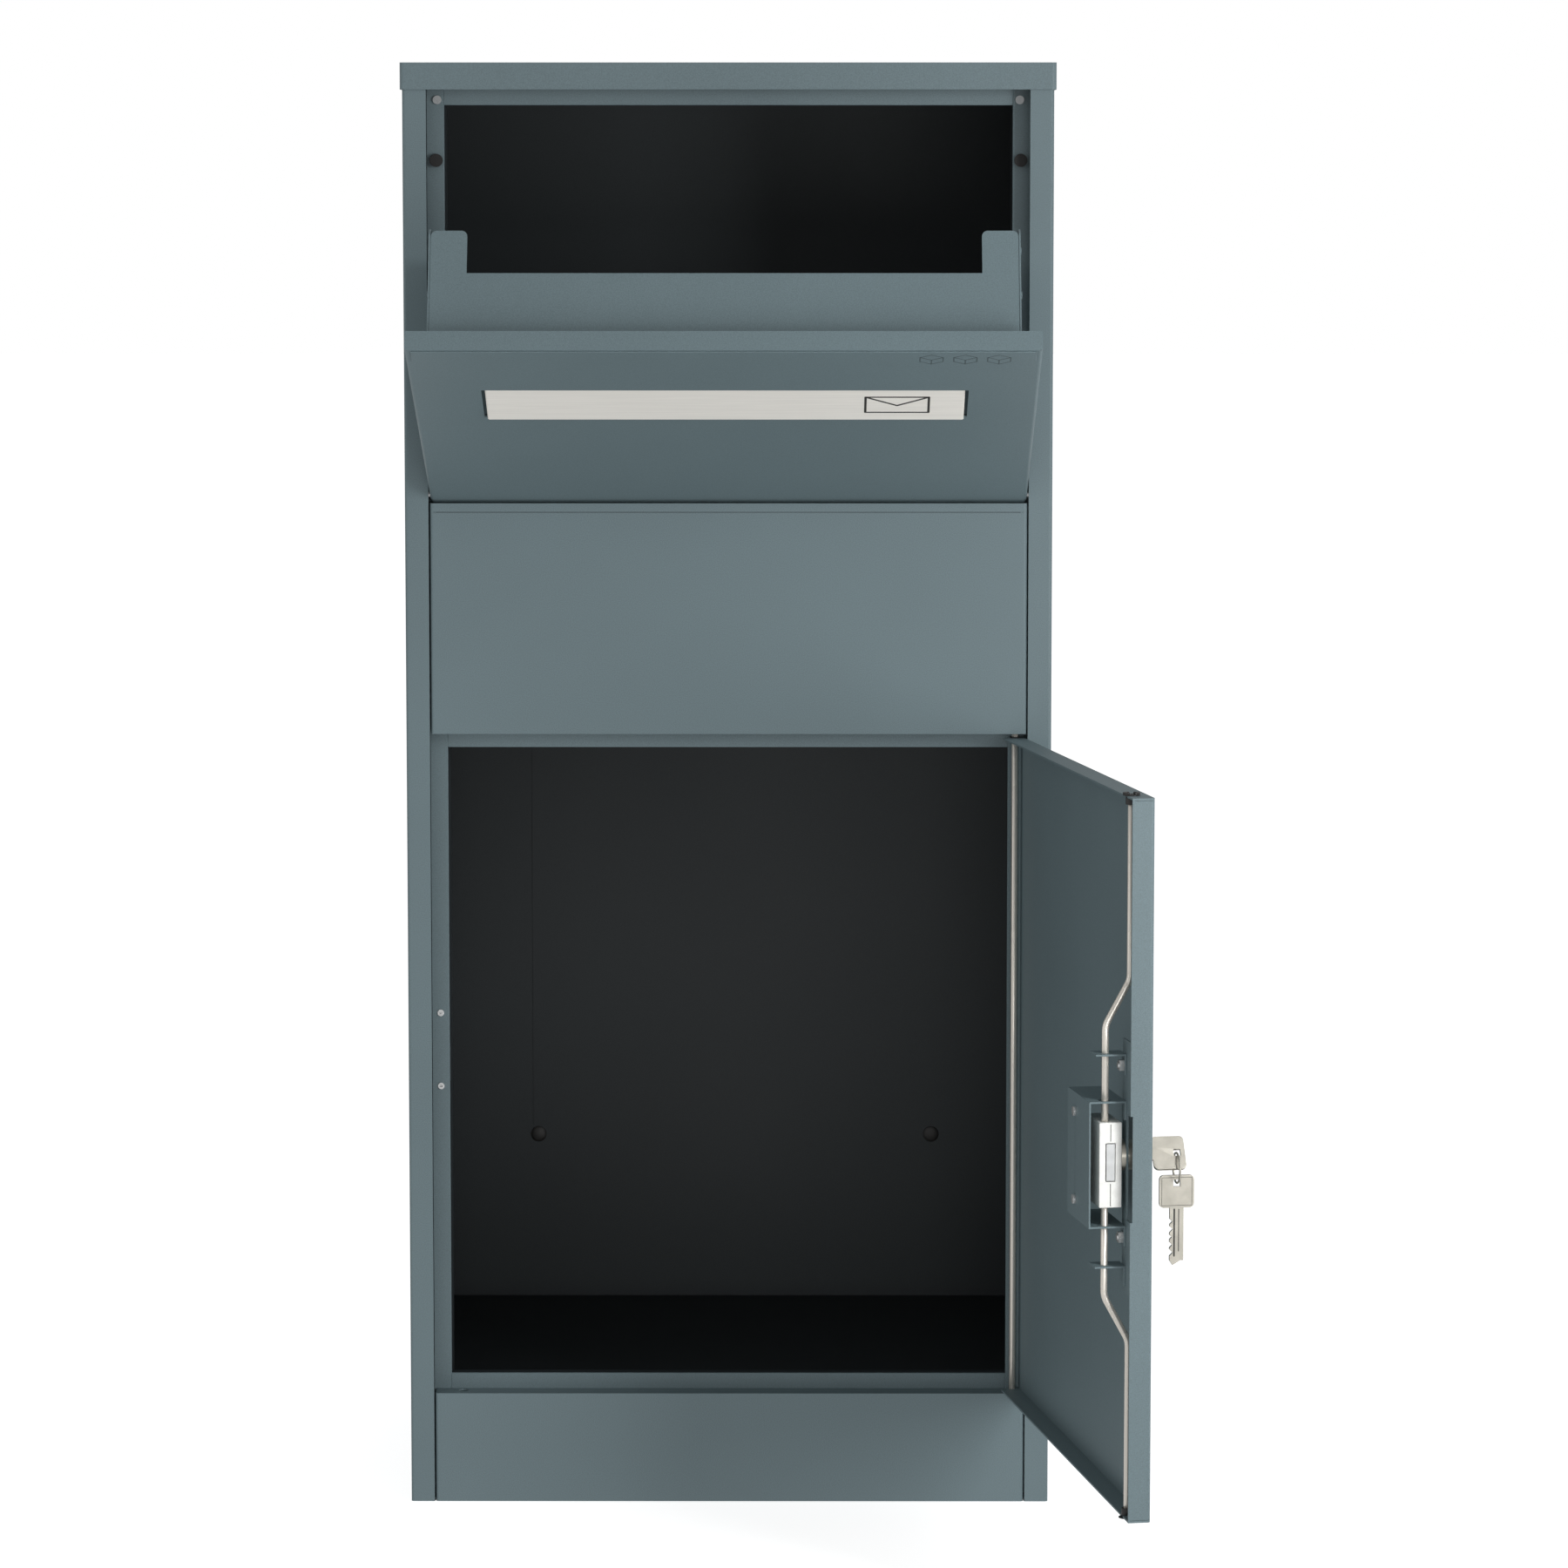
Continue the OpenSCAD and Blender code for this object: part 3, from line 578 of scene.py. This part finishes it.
panel = Face("middle_panel", (0, -1, 0), (1, 0, 0))
CREASE_DROP = 6.6 * MM
CREASE = 0.8 * MM
CREASE_END = 2.5 * MM  # from the panel's side
CREASE_FLOOR, CREASE_TOP = -0.55 * MM, -0.1 * MM
reach = panel.width / 2 - CREASE_END
low = panel.height / 2 - CREASE_DROP
crease = bmesh.new()
prism(crease, [(-reach, low), (reach, low), (reach, low + CREASE),
               (-reach, low + CREASE)], CREASE_FLOOR, CREASE_TOP)
# A darker strip in the groove, painted shade of the crease.
finish_piece("painted_crease_shade", crease, panel.matrix, "mark_and_shade_coat", "cabinet")

# ---- Painted shade: a darker line along the seam of the lock case ----

case = Face("lock_case", DOOR_EDGE, (1, 0, 0))
bolt_low, bolt_high = (v.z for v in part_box("lock_bolt"))
case_middle = (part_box("lock_case")[0].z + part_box("lock_case")[1].z) / 2
SEAM = 0.45 * MM
SEAM_END = 1 * MM  # from the top and bottom of the case
SEAM_GAP = 1.6 * MM  # above and below the bolt
SEAM_LOW, SEAM_HIGH = -0.1 * MM, 0.05 * MM
seam = bmesh.new()
for low, high in ((-case.height / 2 + SEAM_END, bolt_low - case_middle - SEAM_GAP),
                  (bolt_high - case_middle + SEAM_GAP, case.height / 2 - SEAM_END)):
    prism(seam, [(-SEAM / 2, low), (SEAM / 2, low), (SEAM / 2, high),
                 (-SEAM / 2, high)], SEAM_LOW, SEAM_HIGH)
finish_piece("painted_seam_shade", seam, case.matrix, "etch_and_shade", "door")

# ---- Painted shade: darker lines in the grooves of the hanging key ----

key = Face("spare_key", DOOR_EDGE, (1, 0, 0))
GROOVE = 0.3 * MM
GROOVE_LOW, GROOVE_HIGH = -0.1 * MM, 0.04 * MM
BOW = 21 * MM
BOW_INSET = 1.5 * MM
BLADE_GROOVES = ((-1.6 * MM, 1.1 * MM, 6 * MM),  # place across, width, end above the tip
                 (1.3 * MM, 0.6 * MM, 9 * MM))
grooves = bmesh.new()
bow_v = key.height / 2 - BOW / 2
half_u, half_v = key.width / 2 - BOW_INSET, BOW / 2 - BOW_INSET
corners = [(-half_u, bow_v - half_v), (half_u, bow_v - half_v),
           (half_u, bow_v + half_v), (-half_u, bow_v + half_v)]
strokes(grooves, corners, GROOVE, GROOVE_LOW, GROOVE_HIGH, closed=True)
blade_top = bow_v - BOW / 2 - 1 * MM
for u, width, end in BLADE_GROOVES:
    stroke(grooves, (u, blade_top), (u, -key.height / 2 + end), width,
           GROOVE_LOW, GROOVE_HIGH)
finish_piece("painted_groove_shade", grooves, key.matrix, "etch_and_shade", "hanging_key")

# ---- Lips of the upper rod bush ----

LIP_OUTER = 5.5 * MM
LIP_INNER = 3.2 * MM
LIP_RISE = 1.3 * MM
LIP_ROOT = -0.1 * MM
LIP_SWEEP = 134  # degrees of each lip
LIP_STEPS = 14
bush, _ = rod_end("rod_bushes", True)
lips = bmesh.new()
for middle in (0, 180):
    start, stop = middle - LIP_SWEEP / 2, middle + LIP_SWEEP / 2
    outline = arc((0, 0), LIP_OUTER, start, stop, LIP_STEPS)
    outline += reversed(arc((0, 0), LIP_INNER, start, stop, LIP_STEPS))
    prism(lips, outline, LIP_ROOT, LIP_RISE)
finish_piece("bush_lips", lips, Matrix.Translation(bush), "black_plastic", "door",
             0.3)

# ---- Pictograms in place of lettering ----

ETCH_LOW = -0.05 * MM
ETCH_HIGH = 0.06 * MM
ENVELOPE_WIDTH = 42 * MM
ENVELOPE_HEIGHT = 22 * MM
ENVELOPE_LINE = 1.6 * MM
ENVELOPE_PLACE = 44 * MM  # from the letter flap's right end
FLAP_DIP = 0.05  # how far the flap's tip is under the middle, of the height
CARTON_SIZE = 15 * MM
CARTON_LINE = 0.8 * MM
CARTON_PLACE = 24 * MM  # from the grip strip's right end
CARTON_PITCH = 22 * MM
CARTON_COUNT = 3


def envelope(bm, centre, width, height, line):
    """Outline of an envelope with its flap."""
    u, v = centre
    left, right = u - width / 2, u + width / 2
    low, high = v - height / 2, v + height / 2
    strokes(bm, [(left, low), (right, low), (right, high), (left, high)], line,
            ETCH_LOW, ETCH_HIGH, closed=True)
    strokes(bm, [(left, high), (u, v - FLAP_DIP * height), (right, high)], line,
            ETCH_LOW, ETCH_HIGH)


def carton(bm, centre, size, line):
    """Outline of a closed carton seen from a corner."""
    u, v = centre
    w = size * 0.5  # half its width
    h = size * 0.29  # height of the slanting edges
    top, bottom = v + size * 0.52, v - size * 0.52
    ring = [(u, top), (u + w, top - h), (u + w, bottom + h), (u, bottom),
            (u - w, bottom + h), (u - w, top - h)]
    strokes(bm, ring, line, ETCH_LOW, ETCH_HIGH, closed=True)
    strokes(bm, [(u - w, top - h), (u, top - 2 * h), (u + w, top - h)], line,
            ETCH_LOW, ETCH_HIGH)
    stroke(bm, (u, top - 2 * h), (u, bottom), line, ETCH_LOW, ETCH_HIGH)


letter = Face("letter_flap", (0, -1, -1), (1, 0, 0))
mark = bmesh.new()
envelope(mark, (letter.width / 2 - ENVELOPE_PLACE, 0), ENVELOPE_WIDTH, ENVELOPE_HEIGHT,
         ENVELOPE_LINE)
finish_piece("letter_mark", mark, letter.matrix, "etch_and_shade", "letter_plate")

strip = Face("grip_strip", (0, -1, -1), (1, 0, 0))
mark = bmesh.new()
for step in range(CARTON_COUNT):
    place = CARTON_PLACE + CARTON_PITCH * step
    carton(mark, (strip.width / 2 - place, 0), CARTON_SIZE, CARTON_LINE)
finish_piece("parcel_mark", mark, strip.matrix, "mark_and_shade_coat", "parcel_flap")

# ---- Blanking plugs in the wall holes ----

back = Face("back_panel", (0, -1, 0), (1, 0, 0))
plugs = bmesh.new()
wall = next(m for m in frame["record"]["mounts"] if m["name"] == "wall_holes")
wall_x = wall["dims"]["spacing_x_mm"] * MM / 2
wall_z = wall["dims"]["spacing_y_mm"] * MM / 2
hole_r = wall["dims"]["hole_r_mm"] * MM
PLUG_RIM = 1.5 * MM  # wider than the hole
PLUG_RISE = 1.2 * MM
to_back = back.matrix.inverted()
for sx in (-1, 1):
    for sz in (-1, 1):
        spot = to_back @ Vector((sx * wall_x, back_y, wall["pos_m"][2] + sz * wall_z))
        dome(plugs, (spot.x, spot.y), hole_r + PLUG_RIM, 0, PLUG_RISE)
finish_piece("wall_plugs", plugs, back.matrix, "black_plastic", "cabinet")

# ---- Room and light ----

FLOOR_SIZE = 30  # metres from the middle to each side
FLOOR_GLOW = 0.75
FLOOR_DROP = 0.2 * MM  # below the cabinet's underside


def glowing_floor():
    """Pale floor paint that stays white out to the horizon."""
    n = Nodes("floor_paint")
    pale = n.ramp(n.noise(2, 2), grey(0.79), grey(0.8))
    return n.put(Base_Color=pale, Roughness=0.9, Specular_IOR_Level=0.1,
                 Emission_Color=(1, 1, 1, 1), Emission_Strength=FLOOR_GLOW)


floor_mesh = bmesh.new()
bmesh.ops.create_grid(floor_mesh, x_segments=4, y_segments=4, size=FLOOR_SIZE)
mesh = bpy.data.meshes.new("floor")
floor_mesh.to_mesh(mesh)
floor_mesh.free()
mesh.materials.append(glowing_floor())
floor = bpy.data.objects.new("floor", mesh)
floor.location.z = -FLOOR_DROP
floor.visible_diffuse = False
floor.visible_glossy = False
floor.visible_shadow = False
scene.collection.objects.link(floor)

SKY = 0.435  # light from above
GROUND = 0.634  # light from below
BACKDROP = 1.0  # what the camera sees behind the cabinet
HORIZON = 0.2  # the two lights blend this far above and below the horizon
KEY_POWER = 13
FILL_POWER = 11.5
SIDE_POWER = 8

world = bpy.data.worlds.new("world")
scene.world = world
world.use_nodes = True
tree = world.node_tree
background = tree.nodes["Background"]
background.inputs["Color"].default_value = (1, 1, 1, 1)
heading = tree.nodes.new("ShaderNodeTexCoord")
split = tree.nodes.new("ShaderNodeSeparateXYZ")
tree.links.new(heading.outputs["Generated"], split.inputs["Vector"])
fade = tree.nodes.new("ShaderNodeMapRange")
fade.inputs["From Min"].default_value = -HORIZON
fade.inputs["From Max"].default_value = HORIZON
fade.inputs["To Min"].default_value = GROUND
fade.inputs["To Max"].default_value = SKY
tree.links.new(split.outputs["Z"], fade.inputs["Value"])
path = tree.nodes.new("ShaderNodeLightPath")
strength = tree.nodes.new("ShaderNodeMapRange")
strength.inputs["To Max"].default_value = BACKDROP
tree.links.new(path.outputs["Is Camera Ray"], strength.inputs["Value"])
tree.links.new(fade.outputs["Result"], strength.inputs["To Min"])
tree.links.new(strength.outputs["Result"], background.inputs["Strength"])


def softbox(name, place, target, width, height, power):
    """A soft area light at a place, turned to a target."""
    light = bpy.data.lights.new(name, "AREA")
    light.shape = "RECTANGLE"
    light.size = width
    light.size_y = height
    light.energy = power
    obj = bpy.data.objects.new(name, light)
    obj.location = place
    aim = Vector(target) - Vector(place)
    obj.rotation_euler = aim.to_track_quat("-Z", "Y").to_euler()
    scene.collection.objects.link(obj)


middle_z = lid_top / 2
softbox("key", (1.05, -1.45, 0.75), (0.26, -0.57, 0.35), 0.3, 1.2, KEY_POWER)
softbox("fill", (0.6, -4.2, 0.35), (0.2, -0.5, 0.3), 1.6, 0.6, FILL_POWER)
softbox("side", (-3.6, -2.2, 1.2), (0, -0.3, middle_z), 1.6, 2.2, SIDE_POWER)

scene.view_settings.view_transform = "Standard"
